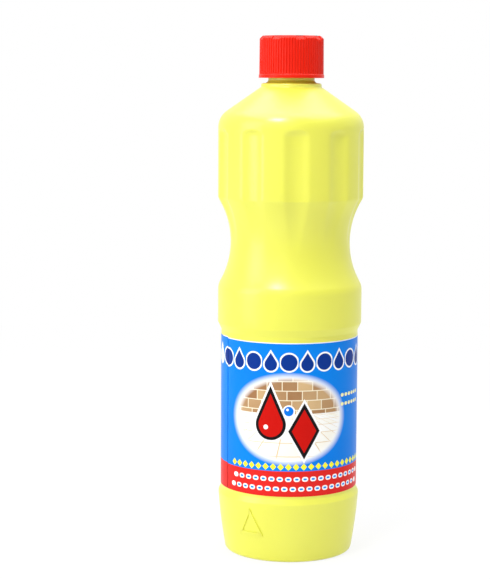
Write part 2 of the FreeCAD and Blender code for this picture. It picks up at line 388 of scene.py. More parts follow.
class Sheet:
    """Material that is drawn with nodes on the piece's own coordinates."""

    def __init__(self, name: str) -> None:
        """Makes a material with one shader."""
        self.material = bpy.data.materials.new(name)
        self.material.use_nodes = True
        self.tree = self.material.node_tree
        self.shader = self.tree.nodes["Principled BSDF"]
        self.place = self.tree.nodes.new("ShaderNodeTexCoord").outputs["Object"]

    def axes(self) -> tuple[Term, Term, Term]:
        """X, Y and Z of the surface."""
        node = self.tree.nodes.new("ShaderNodeSeparateXYZ")
        self.tree.links.new(self.place, node.inputs[0])
        return tuple(Term(self.tree, socket) for socket in node.outputs)

    def noise(self, scale: float, detail: float = 2.0, stretch: float = 1.0) -> Term:
        """Soft noise about one half.

        Args:
            scale: Patches in a metre.
            detail: How much finer noise it carries.
            stretch: How many times longer a patch is along the axis than across.

        Returns:
            The noise, from 0 to 1.
        """
        mapping = self.tree.nodes.new("ShaderNodeMapping")
        mapping.inputs["Scale"].default_value = (1, 1, 1 / stretch)
        node = self.tree.nodes.new("ShaderNodeTexNoise")
        node.inputs["Scale"].default_value = scale
        node.inputs["Detail"].default_value = detail
        self.tree.links.new(self.place, mapping.inputs["Vector"])
        self.tree.links.new(mapping.outputs[0], node.inputs["Vector"])
        return Term(self.tree, node.outputs[0])

    def chance(self, first: Term, second: Term) -> Term:
        """Random value, from 0 to 1, that each pair of whole numbers keeps."""
        pair = self.tree.nodes.new("ShaderNodeCombineXYZ")
        self.tree.links.new(first.socket, pair.inputs[0])
        self.tree.links.new(second.socket, pair.inputs[1])
        node = self.tree.nodes.new("ShaderNodeTexWhiteNoise")
        self.tree.links.new(pair.outputs[0], node.inputs["Vector"])
        return Term(self.tree, node.outputs["Value"])

    def mix(self, mask: Term, below: Ink, above: Ink) -> NodeSocket:
        """One colour laid over another.

        Args:
            mask: Where the upper colour covers.
            below: The lower colour.
            above: The upper colour.

        Returns:
            The mixed colour.
        """
        node = self.tree.nodes.new("ShaderNodeMix")
        node.data_type = "RGBA"
        node.clamp_factor = True
        self.tree.links.new(mask.socket, node.inputs[0])
        for entry, colour in ((node.inputs[MIX_BELOW], below), (node.inputs[MIX_ABOVE], above)):
            if isinstance(colour, tuple):
                entry.default_value = colour
            else:
                self.tree.links.new(colour, entry)
        return node.outputs[MIX_RESULT]

    def set(self, **values: float | tuple[float, ...] | Term | NodeSocket) -> None:
        """Sets the shader's inputs, named with underscores, to constants or to drawn values."""
        for name, value in values.items():
            entry = self.shader.inputs[name.replace("_", " ").title().replace("Ior", "IOR")]
            if isinstance(value, Term):
                self.tree.links.new(value.socket, entry)
            elif isinstance(value, NodeSocket):
                self.tree.links.new(value, entry)
            else:
                entry.default_value = value

    def bump(self, height: Term, distance: float) -> None:
        """Gives the shader a relief.

        Args:
            height: Relief from 0 to 1.
            distance: How deep the whole of it is, in metres.
        """
        node = self.tree.nodes.new("ShaderNodeBump")
        node.inputs["Distance"].default_value = distance
        self.tree.links.new(height.socket, node.inputs["Height"])
        self.tree.links.new(node.outputs[0], self.shader.inputs["Normal"])


class Grain(Enum):
    """How a plastic was shaped, with the depth of its fine relief in metres."""

    BLOWN = 0.00008
    MOULDED = 0.00006
    FOAMED = 0.00025


@dataclass(frozen=True)
class Plastic:
    """Plain coloured plastic with a fine relief and a slightly uneven tone."""

    name: str
    grain: Grain
    colour: Colour
    deep: Colour
    roughness: float
    roughness_swing: float = 0.06
    glow: float = 0.0
    glow_reach: tuple[float, float, float] = (1.0, 1.0, 1.0)
    glow_depth: float = 0.004
    specular: float = 0.5
    parting_half_width: float = 0.0

    def relief(self, sheet: Sheet) -> Term:
        """Fine relief of the grain, from 0 to 1."""
        if self.grain is Grain.BLOWN:
            peel = sheet.noise(420, 2.0, 1.6)
            waves = sheet.noise(38, 1.0, 5.0)
            relief = peel * 0.35 + waves * 0.65
        elif self.grain is Grain.MOULDED:
            relief = sheet.noise(1500, 3.0) * 0.5 + sheet.noise(160, 1.0) * 0.5
        else:
            relief = sheet.noise(2600, 4.0)
        if self.parting_half_width:
            half_width = self.parting_half_width
            beyond = abs(sheet.axes()[1]) - half_width
            relief = relief + beyond.inside(half_width) * 0.5
        return relief

    def make(self) -> Material:
        """Draws the material."""
        sheet = Sheet(self.name)
        patches = (sheet.noise(24, 2.0, 2.5) - 0.35) * 2.2
        smoothest = self.roughness - self.roughness_swing
        sheet.set(
            base_color=sheet.mix(patches, self.deep, self.colour),
            roughness=sheet.noise(90, 3.0) * (2 * self.roughness_swing) + smoothest,
            specular_ior_level=self.specular,
        )
        sheet.bump(self.relief(sheet), self.grain.value)
        if self.glow:
            sheet.set(subsurface_weight=self.glow, subsurface_scale=self.glow_depth,
                      subsurface_radius=self.glow_reach)
        return sheet.material


@dataclass(frozen=True)
class PrintedFilm:
    """Glossy film printed with a blue field, a red band and rows of plain shapes.

    Places are millimetres on the unrolled film: across from the front's middle, and
    up from the floor.
    """

    name: str
    radius: float
    foot: float
    head: float
    seam: float
    lap_shift: float
    band_height: float = 14.0
    border: float = 0.5
    title_down: float = 10.6
    outline: float = 0.9
    edge: float = 0.14
    specular: float = 0.07
    crease_depth: float = 0.0003
    blue: Colour = srgb(4, 138, 240)
    deep_blue: Colour = srgb(6, 118, 226)
    red: Colour = srgb(222, 40, 36)
    deep_red: Colour = srgb(200, 18, 10)
    navy: Colour = srgb(8, 52, 140)
    white: Colour = srgb(250, 251, 252)
    yellow: Colour = srgb(250, 246, 60)
    pale_yellow: Colour = srgb(252, 248, 176)
    black: Colour = srgb(22, 18, 20)
    cream: Colour = srgb(246, 238, 212)
    tan: Colour = srgb(222, 190, 142)
    brown: Colour = srgb(132, 76, 38)

    def drop(self, across: Term, up: Term, radius: float, height: float) -> Term:
        """Distance to the outline of a drop with its tip upwards.

        Args:
            across: Place across, from the drop's middle.
            up: Place up, from the middle of its belly.
            radius: Radius of the belly.
            height: How far the tip is above the belly's middle.

        Returns:
            About the distance in millimetres, below zero inside.
        """
        lean = math.asin(radius / height)
        belly = self.ring(across, up, radius)
        side = abs(across) * math.cos(lean) + up * math.sin(lean) - radius
        above = (up * math.cos(lean) - abs(across) * math.sin(lean)).run("GREATER_THAN", 0.0)
        return belly + (side - belly) * above

    def ring(self, across: Term, up: Term, radius: float) -> Term:
        """Distance to a circle about the middle."""
        return (across * across + up * up).run("SQRT") - radius

    def gem(self, across: Term, up: Term, half_wide: float, half_tall: float) -> Term:
        """Distance to an upright diamond about the middle."""
        depth = half_wide * half_tall / math.hypot(half_wide, half_tall)
        return (abs(across) / half_wide + abs(up) / half_tall - 1.0) * depth

    def dash(self, across: Term, up: Term, half_width: float, half_height: float) -> Term:
        """Distance to a rounded bar about the middle."""
        beyond = (abs(across) - (half_width - half_height)).most(0.0)
        return (beyond * beyond + up * up).run("SQRT") - half_height

    def row(self, across: Term, pitch: float, first: int, last: int) -> tuple[Term, Term, Term]:
        """Cells of a row.

        Args:
            across: Place across.
            pitch: Distance from cell to cell.
            first: Number of the first cell.
            last: Number of the last cell.

        Returns:
            Place in the cell, the cell's number, and a distance above zero past the row's ends.
        """
        number = (across / pitch).run("ROUND")
        beyond = abs(number - (first + last) / 2) - ((last - first) / 2 + 0.5)
        return across - number * pitch, number, beyond

    def paint(self, sheet: Sheet, colour: Ink, shape: Term, ink: Colour) -> NodeSocket:
        """Colour with a shape printed over it."""
        return sheet.mix(shape.inside(self.edge), colour, ink)

    def wall(self, sheet: Sheet, across: Term, up: Term) -> NodeSocket:
        """Wall of tiles in courses that are half a course staggered, from up = 0."""
        course_height, brick_length, grout = 5.2, 8.32, 0.22
        course = (up / course_height).run("FLOOR")
        stagger = across + course * (course_height / 2)
        brick = (stagger / brick_length).run("ROUND")
        off_brick = abs(stagger - brick * brick_length) - (brick_length / 2 - grout)
        off_course = abs(up - course * course_height - course_height / 2)
        joint = off_brick.most(off_course - (course_height / 2 - grout))
        tone = sheet.chance(brick, course) * 0.6 + sheet.noise(70, 3.0) * 0.4
        return sheet.mix(joint.inside(0.2), self.cream, sheet.mix(tone, self.brown, self.tan))

    def ground(self, sheet: Sheet, across: Term, up: Term) -> NodeSocket:
        """Floor of tiles whose lanes run together at a vanishing point."""
        horizon, lane_spread, row_spread, lane_pitch, tile_half = 9.0, 16.0, 3.4, 7.0, 0.475
        depth = (up * -1 + horizon).most(1.0)
        lane = across / depth * lane_spread
        row = depth.run("LOGARITHM", math.e) * row_spread
        lane_number = (lane / lane_pitch).run("ROUND")
        row_number = row.run("ROUND")
        off_lane = abs(lane - lane_number * lane_pitch) / lane_pitch
        joint = off_lane.most(abs(row - row_number)) - tile_half
        tile = sheet.mix(sheet.chance(lane_number, row_number) * 0.5, self.white, self.cream)
        return sheet.mix(joint.inside(0.02), self.tan, tile)

    def picture(self, sheet: Sheet, colour: Ink, across: Term, up: Term) -> NodeSocket:
        """Oval view of a tiled wall over a tiled floor, with a pale glow about it."""
        middle_up, half_wide, half_tall, wall_foot = 80.0, 32.0, 23.5, 3.0
        rise = up - middle_up
        wide = across / half_wide
        tall = rise / half_tall
        oval = ((wide * wide + tall * tall).run("SQRT") - 1) * half_tall
        wall = self.wall(sheet, across, rise)
        ground = self.ground(sheet, across, rise)
        view = sheet.mix((rise - wall_foot).inside(0.3), wall, ground)
        colour = sheet.mix((oval - 0.6).inside(3.4), colour, self.white)
        return sheet.mix((oval + 1.6).inside(3.0), colour, view)

    def title(self, sheet: Sheet, colour: Ink, across: Term, up: Term) -> NodeSocket:
        """Row of outlined bubbles and drops in turn, about up = 0."""
        cell, number, beyond = self.row(across, 10.0, -4, 6)
        odd = number.run("MODULO", 2.0).run("ABSOLUTE")
        bubble = self.ring(cell, up, 4.5)
        drop = self.drop(cell, up + 1.2, 3.5, 6.4)
        motif = (bubble + (drop - bubble) * odd).most(beyond)
        colour = self.paint(sheet, colour, motif - self.outline, self.white)
        return self.paint(sheet, colour, motif, self.navy)

    def emblem(self, sheet: Sheet, colour: Ink, across: Term, up: Term) -> NodeSocket:
        """Rimmed drop and gem, a bead between them, and two glints."""
        drop = self.drop(across + 10.0, up - 77.0, 6.8, 17.0)
        gem = self.gem(across - 8.5, up - 73.5, 6.8, 12.0)
        both = drop.least(gem)
        bead = self.ring(across, up - 84.5, 2.6)
        coats = ((both, 2.8, self.white), (both, 1.7, self.black), (both, 0.0, self.deep_red),
                 (bead, 0.8, self.white), (bead, 0.0, self.deep_blue))
        for shape, growth, ink in coats:
            colour = self.paint(sheet, colour, shape - growth, ink)
        for glint_across, glint_up, glint_r in ((12.6, 75.6, 1.3), (0.7, 85.4, 0.7)):
            glint = self.ring(across + glint_across, up - glint_up, glint_r)
            colour = self.paint(sheet, colour, glint, self.white)
        return colour

    def small_print(self, sheet: Sheet, colour: Ink, across: Term, up: Term) -> NodeSocket:
        """Rows of dashes at the right, of gems over the red band, and of bars on it."""
        foot = self.foot / MM
        cell, _, beyond = self.row(across, 3.3, 10, 15)
        for row_up in (86.5, 91.5):
            mark = self.dash(cell, up - row_up, 1.25, 0.95).most(beyond)
            colour = self.paint(sheet, colour, mark, self.pale_yellow)
        cell, _, beyond = self.row(across, 4.2, -8, 13)
        spark = self.gem(cell, up - (foot + self.band_height + 2.4), 1.8, 1.9).most(beyond)
        colour = self.paint(sheet, colour, spark, self.yellow)
        for row_up, shift in ((9.6, 0.0), (4.2, 2.1)):
            cell, _, beyond = self.row(across + shift, 4.6, -7, 11)
            bar = self.dash(cell, up - (foot + row_up), 1.75, 1.3).most(beyond)
            colour = self.paint(sheet, colour, bar, self.white)
            colour = self.paint(sheet, colour, bar + 0.75, self.blue)
        return colour

    def make(self) -> Material:
        """Draws the material."""
        sheet = Sheet(self.name)
        x, y, z = sheet.axes()
        azimuth = x.run("ARCTAN2", y * -1)
        beyond_seam = (azimuth - math.radians(self.seam)).inside(0.0002)
        across = azimuth * (self.radius / MM)
        up = z / MM - beyond_seam * (self.lap_shift / MM)
        foot, head = self.foot / MM, self.head / MM
        colour = sheet.mix(sheet.noise(30, 1.0) * 0.9, self.deep_blue, self.blue)
        colour = self.picture(sheet, colour, across, up)
        colour = self.paint(sheet, colour, up - (foot + self.band_height), self.red)
        colour = self.title(sheet, colour, across, up - (head - self.title_down))
        colour = self.emblem(sheet, colour, across, up)
        colour = self.small_print(sheet, colour, across, up)
        colour = self.paint(sheet, colour, up * -1 + (head - self.border), self.white)
        sheet.set(
            base_color=colour,
            roughness=sheet.noise(60, 2.0) * 0.08 + 0.30,
            specular_ior_level=self.specular,
        )
        sheet.bump(sheet.noise(34, 2.0, 4.0), self.crease_depth)
        return sheet.material


@dataclass
class Bottle:
    """Blown shell with flutes, waist, label panel and threaded neck."""

    wall: float = 0.0010
    push_up: float = 0.0042
    push_up_bow: float = 0.0014
    ring_inner_r: float = 0.0296
    ring_step_width: float = 0.0018
    ring_round: float = 0.0006
    heel_r: float = 0.0354
    heel_rise: float = 0.0019
    heel_round: float = 0.0025
    base_r: float = 0.0392
    base_height: float = 0.0323
    base_bow: float = 0.00042
    base_rim_height: float = 0.0009
    base_rim_round: float = 0.0020
    label_step_height: float = 0.0027
    label_step_round: float = 0.0008
    panel_r: float = 0.03785
    panel_height: float = 0.0886
    panel_chamfer_height: float = 0.0040
    panel_chamfer_round: float = 0.0015
    lower_band_r: float = 0.0398
    lower_band_height: float = 0.0207
    lower_band_round: float = 0.009
    waist_r: float = 0.03294
    waist_arc_r: float = 0.045
    flute_band_r: float = 0.040
    flute_band_height: float = 0.0443
    crease_round: float = 0.0012
    flute_count: int = 10
    flute_first_azimuth: float = 4.5
    flute_share: float = 0.5
    flute_depth: float = 0.0017
    flute_top_round: float = 0.0045
    flute_top_gap: float = 0.0054
    flute_fade_drop: float = 0.0225
    flute_softness: float = 0.0008
    shoulder_slope: float = 34.9
    shoulder_round: float = 0.0108
    collar_r: float = 0.0166
    collar_height: float = 0.0021
    collar_round: float = 0.0011
    collar_foot_round: float = 0.0008
    neck_foot_round: float = 0.0020
    neck_r: float = 0.0127
    neck_height: float = 0.0183
    bore_r: float = 0.0108
    lip_round: float = 0.0005
    thread_pitch: float = 0.004233
    thread_turns: float = 1.5
    thread_depth: float = 0.0010
    thread_base_width: float = 0.0023
    thread_flank: float = 30.0
    thread_lip_gap: float = 0.0012
    thread_run_out: float = 0.12
    mark_side: float = 0.0160
    mark_line: float = 0.0016
    mark_height: float = 0.0006
    mark_tallness: float = 1.12
    mark_azimuth: float = -33.0
    mark_foot_z: float = 0.0146
    columns: int = 360
    outer_step: float = 0.0013
    inner_step: float = 0.0040
    finish: Plastic = Plastic(
        name="bottle_yellow",
        grain=Grain.BLOWN,
        colour=srgb(236, 236, 80),
        deep=srgb(233, 232, 70),
        roughness=0.33,
        specular=0.95,
        glow=0.25,
        glow_reach=(1.0, 0.85, 0.25),
        parting_half_width=0.0002,
    )

    def __post_init__(self) -> None:
        """Works out the heights that several parts share."""
        self.panel_foot_z = self.base_height + self.base_rim_height + self.label_step_height
        self.panel_top_z = self.panel_foot_z + self.panel_height
        self.band_foot_z = self.panel_top_z + self.panel_chamfer_height
        self.waist_corner_z = self.band_foot_z + self.lower_band_height
        centre_r = self.waist_r + self.waist_arc_r
        self.waist_centre = at(centre_r, self.waist_corner_z + self.waist_reach(self.lower_band_r))
        self.crease_z = self.waist_centre.z + self.waist_reach(self.flute_band_r)
        self.shoulder_z = self.crease_z + self.flute_band_height
        self.collar_foot_z = self.cone_height(self.collar_r)
        self.collar_top_z = self.collar_foot_z + self.collar_height
        self.lip_z = self.collar_top_z + self.neck_height

    def waist_reach(self, band_r: float) -> float:
        """Height from the waist's middle to where its arc meets a band."""
        return math.sqrt(self.waist_arc_r ** 2 - (self.waist_r + self.waist_arc_r - band_r) ** 2)

    def cone_height(self, radius: float) -> float:
        """Height of the shoulder's cone at a radius."""
        slope = math.tan(math.radians(self.shoulder_slope))
        return self.shoulder_z + (self.flute_band_r - radius) * slope

    def draw_body(self, cone_end_r: float, step: float) -> Profile:
        """Half section of the body's outside, from the middle of the base to the cone.

        Args:
            cone_end_r: Radius at which the cone ends.
            step: Longest edge on round stretches.

        Returns:
            The half section.
        """
        ring_step_r = self.ring_inner_r - self.ring_step_width
        dome_r = (ring_step_r ** 2 + self.push_up_bow ** 2) / (2 * self.push_up_bow)
        profile = Profile(0, self.push_up)
        dome_rim = at(ring_step_r, self.push_up - self.push_up_bow)
        profile.arc(at(0, self.push_up - dome_r), dome_rim, 4 * step)
        heel_reach = math.sqrt(self.heel_rise * (2 * self.heel_round - self.heel_rise))
        ring_outer_r = self.heel_r - heel_reach
        profile.corner(at(self.ring_inner_r, 0), at(ring_outer_r, 0), self.ring_round, step / 3)
        profile.line(ring_outer_r, 0)
        heel_top = at(self.heel_r, self.heel_rise)
        profile.arc(at(ring_outer_r, self.heel_round), heel_top, step / 2)
        profile.bow(at(self.base_r, self.base_height), self.base_bow, step * 1.5)
        panel_foot = at(self.panel_r, self.panel_foot_z)
        rim = at(self.base_r, self.base_height + self.base_rim_height)
        profile.corner(rim, panel_foot, self.base_rim_round, step / 3)
        panel_top = at(self.panel_r, self.panel_top_z)
        profile.corner(panel_foot, panel_top, self.label_step_round, step / 3)
        band_foot = at(self.lower_band_r, self.band_foot_z)
        profile.line(self.panel_r, (self.panel_foot_z + self.panel_top_z) / 2)
        profile.corner(panel_top, band_foot, self.panel_chamfer_round, step / 3)
        band_top = at(self.lower_band_r, self.waist_corner_z)
        profile.corner(band_foot, band_top, self.panel_chamfer_round, step / 3)
        return self.draw_waist(profile, cone_end_r, step)

    def draw_waist(self, profile: Profile, cone_end_r: float, step: float) -> Profile:
        """Goes on from the plain band, over the waist and the fluted band, to the cone."""
        blend_r = self.lower_band_r - self.lower_band_round
        reach = self.waist_arc_r + self.lower_band_round
        rise = math.sqrt(reach ** 2 - (self.waist_centre.x - blend_r) ** 2)
        blend = at(blend_r, self.waist_centre.z - rise)
        profile.line(self.lower_band_r, blend.z, pieces=4)
        to_waist = (self.waist_centre - blend).normalized()
        profile.arc(blend, blend + to_waist * self.lower_band_round, step / 2)
        crease = at(self.flute_band_r, self.crease_z)
        shoulder = at(self.flute_band_r, self.shoulder_z)
        on_band = crease + at(0, self.crease_round)
        climb = self.crease_z - self.waist_centre.z - self.crease_round
        before = math.asin(climb / self.waist_arc_r)
        on_waist = self.waist_centre + at(-math.cos(before), math.sin(before)) * self.waist_arc_r
        profile.arc(self.waist_centre, on_waist, step)
        start = profile.points[-1]
        softening = 6
        for index in range(1, softening + 1):
            share = index / softening
            towards = start.lerp(crease, share)
            profile.points.append(towards.lerp(crease.lerp(on_band, share), share))
        cone_end = at(cone_end_r, self.cone_height(cone_end_r))
        crown_foot = self.shoulder_z - self.flute_top_gap - self.flute_top_round
        profile.line(self.flute_band_r, crown_foot, pieces=12)
        half_bend = math.radians(90 - self.shoulder_slope) / 2
        round_foot = self.shoulder_z - self.shoulder_round * math.tan(half_bend)
        profile.line(self.flute_band_r, round_foot, pieces=14)
        profile.corner(shoulder, cone_end, self.shoulder_round, step)
        profile.line(*cone_end.xz, pieces=8)
        return profile

    def draw_neck(self, profile: Profile) -> None:
        """Goes on from the cone, over the collar and the neck, to the inside of the lip."""
        step = 0.0003
        foot = profile.points.pop()
        top = at(self.collar_r, self.collar_top_z)
        root = at(self.neck_r, self.collar_top_z)
        lip = at(self.neck_r, self.lip_z)
        bore = at(self.bore_r, self.lip_z)
        profile.corner(foot, top, self.collar_foot_round, step)
        profile.corner(top, root, self.collar_round, step)
        profile.corner(root, lip, self.neck_foot_round, step)
        profile.corner(lip, bore, self.lip_round, step)
        profile.corner(bore, at(self.bore_r, 0), self.lip_round, step)

    def flute_floor(self, height: float) -> float:
        """Distance of the flutes' deepest line from the axis at a height."""
        floor_r = self.flute_band_r - self.flute_depth
        if height >= self.crease_z:
            return floor_r
        fade_z = self.crease_z - self.flute_fade_drop
        crease_spoke = at(floor_r, self.crease_z) - self.waist_centre
        short = self.waist_arc_r ** 2 - crease_spoke.length_squared
        lift = short / (2 * (fade_z - self.crease_z))
        centre = self.waist_centre + at(0, lift)
        arc_r = (at(floor_r, self.crease_z) - centre).length
        return centre.x - math.sqrt(arc_r ** 2 - (height - centre.z) ** 2)

    def flute(self, sector: BMesh, inset: float) -> None:
        """Moves the vertices of a sector in, onto the flute in its middle.

        Args:
            sector: Sector of a turned skin.
            inset: How far that skin lies inside the outer one.
        """
        half_angle = math.radians(180 / self.flute_count * self.flute_share)
        half_chord = self.flute_band_r * math.sin(half_angle)
        sag = self.flute_depth - self.flute_band_r * (1 - math.cos(half_angle))
        rod_r = (half_chord ** 2 + sag ** 2) / (2 * sag)
        top_z = self.shoulder_z - self.flute_top_gap + inset
        bend_z = top_z - self.flute_top_round - inset
        fade_margin = 0.002
        fade_z = self.crease_z - self.flute_fade_drop - fade_margin
        for vert in sector.verts:
            height = vert.co.z
            if not fade_z < height < top_z:
                continue
            turn = math.atan2(vert.co.y, vert.co.x)
            rod_axis_r = self.flute_floor(height) + rod_r
            top_round = self.flute_top_round + inset
            drawn_in = top_round - math.sqrt(top_round ** 2 - max(height - bend_z, 0) ** 2)
            reach = rod_r + inset - drawn_in
            inner = reach ** 2 - (rod_axis_r * math.sin(turn)) ** 2
            if inner <= 0:
                continue
            carved = rod_axis_r * math.cos(turn) - math.sqrt(inner)
            radius = vert.co.xy.length
            vert.co.xy *= soft_least(radius, carved, self.flute_softness) / radius

    def add_thread(self, skin: BMesh) -> None:
        """Adds the neck's helical thread, which runs out at both ends."""
        thread = bmesh.new()
        slope = math.tan(math.radians(self.thread_flank))
        sink = 0.0004
        half_foot = self.thread_base_width / 2 + sink * slope
        half_crest = self.thread_base_width / 2 - self.thread_depth * slope
        crest_r = self.neck_r + self.thread_depth
        climb = self.thread_turns * self.thread_pitch
        start_z = self.lip_z - self.thread_lip_gap - self.thread_base_width / 2 - climb
        root_r = self.neck_r - sink
        ridge = Profile(root_r, start_z - half_foot)
        crest_low = at(crest_r, start_z - half_crest)
        crest_high = at(crest_r, start_z + half_crest)
        crest_round, crest_step = 0.0002, 0.0001
        ridge.corner(crest_low, crest_high, crest_round, crest_step)
        ridge.corner(crest_high, at(root_r, start_z + half_foot), crest_round, crest_step)
        ridge.line(root_r, start_z + half_foot)
        steps_a_turn, thinnest = 120, 0.1
        steps = round(steps_a_turn * self.thread_turns)
        rings = spin_part(thread, ridge.points, steps, closed=True, angle=360 * self.thread_turns,
                          rise=climb)
        ring_size = len(ridge.points)
        for index, vert in enumerate(rings):
            share = (index // ring_size) / steps
            run_out = min(share, 1 - share) / (self.thread_run_out / self.thread_turns)
            swell = math.sin(min(run_out, 1) * math.pi / 2)
            radius = vert.co.xy.length
            kept = thinnest + (1 - thinnest) * swell
            vert.co.xy *= (root_r + (radius - root_r) * kept) / radius
        cap_ends(thread)
        add_part(skin, thread)

    def shell(self) -> BMesh:
        """The whole bottle in one closed skin, with its thread."""
        skin = bmesh.new()
        outside = self.draw_body(self.collar_r, self.outer_step)
        self.draw_neck(outside)
        inside = self.draw_body(self.bore_r, self.inner_step).moved_in(self.wall)
        inside.append(outside.points[-1])
        for points, inset in ((outside.points, 0), (inside, self.wall)):
            sector = spin_sector(points, self.columns, self.flute_count)
            self.flute(sector, inset)
            lay_round(skin, sector, self.flute_count, self.flute_first_azimuth)
        self.add_thread(skin)
        return skin

    def bulge_r(self, height: float) -> float:
        """Radius of the base's bulge at a height."""
        share = (height - self.heel_rise) / (self.base_height - self.heel_rise)
        straight = self.heel_r + (self.base_r - self.heel_r) * share
        return straight + 4 * self.base_bow * share * (1 - share)

    def triangle(self) -> BMesh:
        """Raised outline of a plain triangle, laid on the bulge of the base."""
        skin = bmesh.new()
        corner_r = self.mark_side / math.sqrt(3)
        bmesh.ops.create_circle(skin, cap_ends=True, segments=3, radius=corner_r)
        bmesh.ops.bevel(skin, geom=list(skin.verts), offset=self.mark_line / 2, segments=4,
                        profile=0.5, affect="VERTICES", material=-1)
        bmesh.ops.inset_individual(skin, faces=list(skin.faces), thickness=self.mark_line,
                                   use_even_offset=True)
        middle = min(skin.faces, key=lambda face: face.calc_center_median().length)
        bmesh.ops.delete(skin, geom=[middle], context="FACES")
        bmesh.ops.subdivide_edges(skin, edges=list(skin.edges), cuts=7, use_grid_fill=True)
        raised = bmesh.ops.extrude_face_region(skin, geom=list(skin.faces), use_keep_orig=True)
        crown = [part for part in raised["geom"] if isinstance(part, BMVert)]
        bmesh.ops.translate(skin, verts=crown, vec=AXIS * self.mark_height)
        middle_z = self.mark_foot_z + self.mark_side / math.sqrt(12) * self.mark_tallness
        for vert in skin.verts:
            across, up, out = vert.co
            height = middle_z + up * self.mark_tallness
            radius = self.bulge_r(height) + out - (0 if out else self.wall / 4)
            azimuth = self.mark_azimuth + math.degrees(across / radius)
            vert.co = turn_to(azimuth) @ at(radius, height)
        return skin

    def build(self) -> None:
        """Makes the shell and the triangle and puts them on the bottle's body."""
        material = self.finish.make()
        for name, skin in (("bottle_shell", self.shell()), ("raised_triangle", self.triangle())):
            piece = finished(skin, name, material, crease=50)
            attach(piece, "bottle")
            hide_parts("bottle")
            log.info("%s: %d faces", name, len(piece.data.polygons))


@dataclass
class Label:
    """Wrap-around film whose far end laps over its near end."""

    radius: float = 0.03788
    thickness: float = 0.00012
    seam: float = -62.0
    lap: float = 0.0070
    lap_shift: float = 0.0005
    columns: int = 360

    def strip(self, skin: BMesh, radius: float, low: float, high: float,
              start: float, sweep: float) -> None:
        """Adds a curved strip of film.

        Args:
            skin: Mesh that it goes into.
            radius: Its inner radius.
            low: Height of its lower edge.
            high: Height of its upper edge.
            start: Azimuth of its left end.
            sweep: How far it runs on to the right, in degrees.
        """
        outer = radius + self.thickness
        section = [at(radius, low), at(outer, low), at(outer, high), at(radius, high)]
        steps = round(self.columns * sweep / 360)
        verts = spin_part(skin, section, steps, closed=True, angle=sweep)
        bmesh.ops.rotate(skin, verts=verts, cent=ORIGIN, matrix=turn_to(start))

    def build(self) -> None:
        """Makes the film and puts it on the bottle's body."""
        low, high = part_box("label")
        foot, head = low.z, high.z - self.lap_shift
        lap_angle = math.degrees(self.lap / self.radius)
        skin = bmesh.new()
        self.strip(skin, self.radius, foot, head, self.seam, 360.0)
        self.strip(skin, self.radius + self.thickness, foot + self.lap_shift,
                   head + self.lap_shift, self.seam - lap_angle, lap_angle)
        cap_ends(skin)
        film = PrintedFilm("label_film", self.radius, foot, head, self.seam, self.lap_shift)
        piece = finished(skin, "label_film", film.make(), crease=30)
        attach(piece, "bottle")
        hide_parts("label")
        log.info("label_film: %d faces", len(piece.data.polygons))


